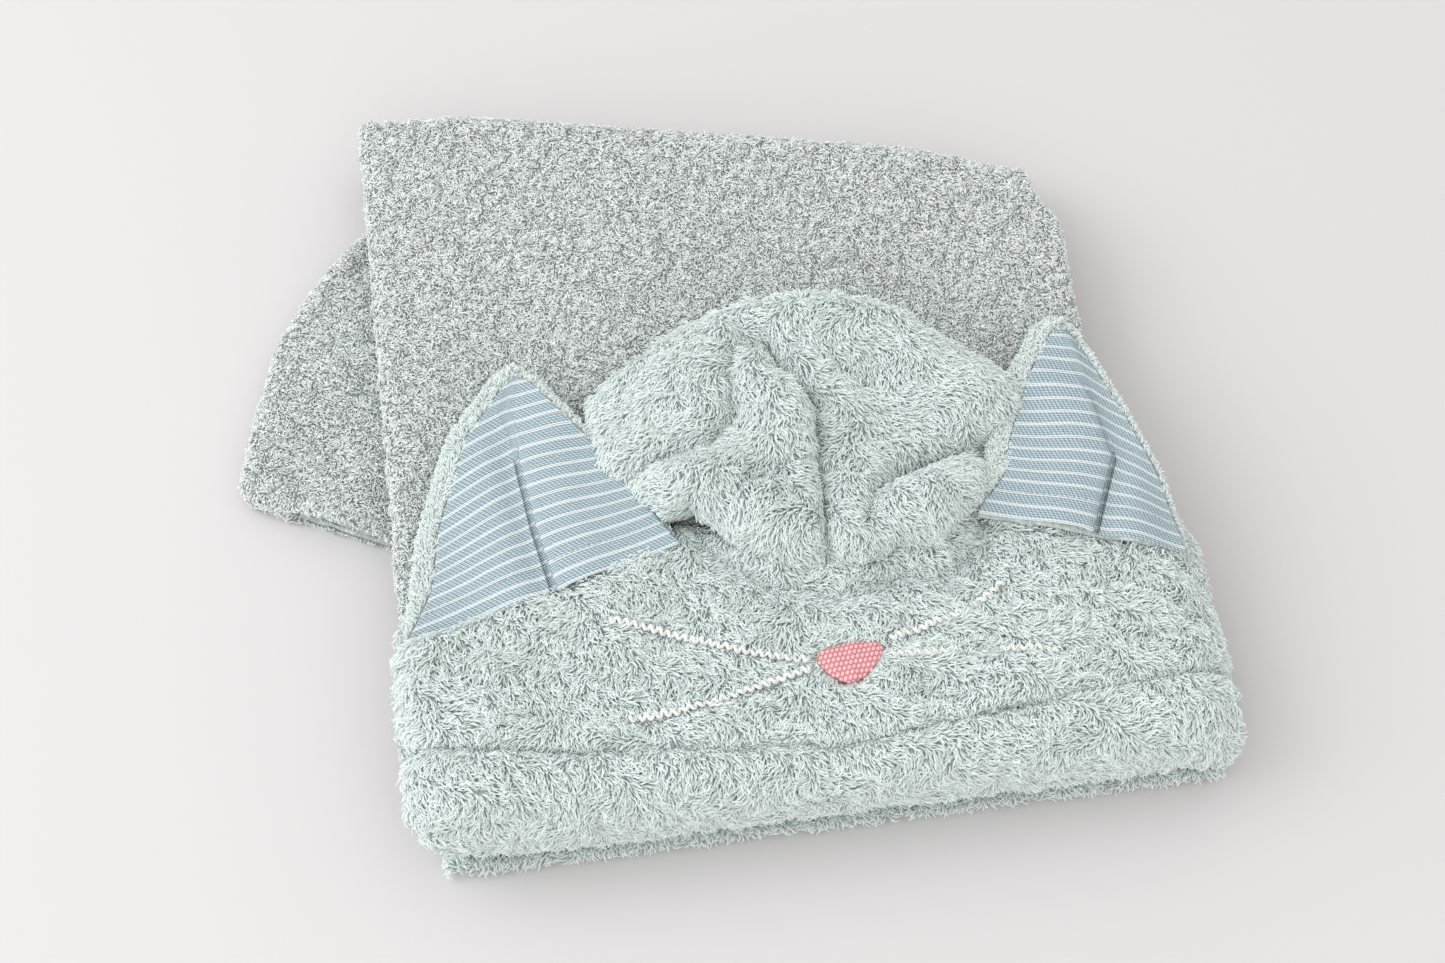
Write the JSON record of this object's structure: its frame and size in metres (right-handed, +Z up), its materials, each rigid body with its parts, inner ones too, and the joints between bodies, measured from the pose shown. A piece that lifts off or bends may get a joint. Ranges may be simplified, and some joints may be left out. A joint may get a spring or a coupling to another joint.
{
  "type": "hooded baby towel",
  "caption": "Hooded terry baby towel folded flat, with a collapsed cat-eared hood laid on top; it unfolds at the back, and the hood and ears lift.",
  "frame": {"origin": "centre of the folded bundle's footprint on the surface it lies on", "axes": "+X along the hood's front edge, +Y from the front edge towards the back fold, +Z up"},
  "size_m": [0.444, 0.416, 0.082],
  "materials": {
    "towel_terry": "matte",
    "hood_terry": "matte",
    "striped_cotton": "matte",
    "seam_thread": "satin",
    "white_thread": "satin",
    "pink_thread": "satin"
  },
  "bodies": {
    "lower_fold": {"end_panel_lower": "towel_terry", "end_panel_upper": "towel_terry", "end_panel_side_fold": "towel_terry", "end_panel_hem": "towel_terry", "middle_panel_lower": "towel_terry", "middle_panel_upper": "towel_terry", "middle_panel_side_fold": "towel_terry", "back_fold_lower": "towel_terry"},
    "upper_fold": {"back_fold_upper": "towel_terry", "top_panel_lower": "towel_terry", "top_panel_upper": "towel_terry", "top_panel_side_fold": "towel_terry"},
    "hood": {"hood_under_panel": "hood_terry", "neck_seam": "seam_thread", "hood_face_panel": "hood_terry", "hood_front_hem": "hood_terry", "hood_hem_stitching": "seam_thread", "ear_seam": "seam_thread", "crown_left": "hood_terry", "crown_right": "hood_terry", "crown_seam": "seam_thread", "nose": "pink_thread", "whisker_left_upper": "white_thread", "whisker_left_lower": "white_thread", "whisker_right_upper": "white_thread", "whisker_right_lower": "white_thread"},
    "ear_left": {"ear_left_back": "hood_terry", "ear_left_lining": "striped_cotton", "ear_left_stitching": "seam_thread"},
    "ear_right": {"ear_right_back": "hood_terry", "ear_right_lining": "striped_cotton", "ear_right_stitching": "seam_thread"}
  },
  "joints": [
    {"name": "back_unfold", "type": "hinge", "parent": "lower_fold", "child": "upper_fold", "pos_m": [-0.146, 0.208, 0.01935], "axis": [-0.9744, 0.225, 0], "range_deg": [0, 120]},
    {"name": "hood_lift", "type": "hinge", "parent": "upper_fold", "child": "hood", "pos_m": [0, 0.028, 0.039], "axis": [-1, 0, 0], "range_deg": [0, 80]},
    {"name": "ear_left_flip", "type": "hinge", "parent": "hood", "child": "ear_left", "pos_m": [-0.142, -0.117, 0.0618], "axis": [0.9697, 0.2444, 0], "range_deg": [0, 140]},
    {"name": "ear_right_flip", "type": "hinge", "parent": "hood", "child": "ear_right", "pos_m": [0.127, -0.097, 0.0618], "axis": [0.9848, -0.1738, 0], "range_deg": [0, 140]}
  ]
}
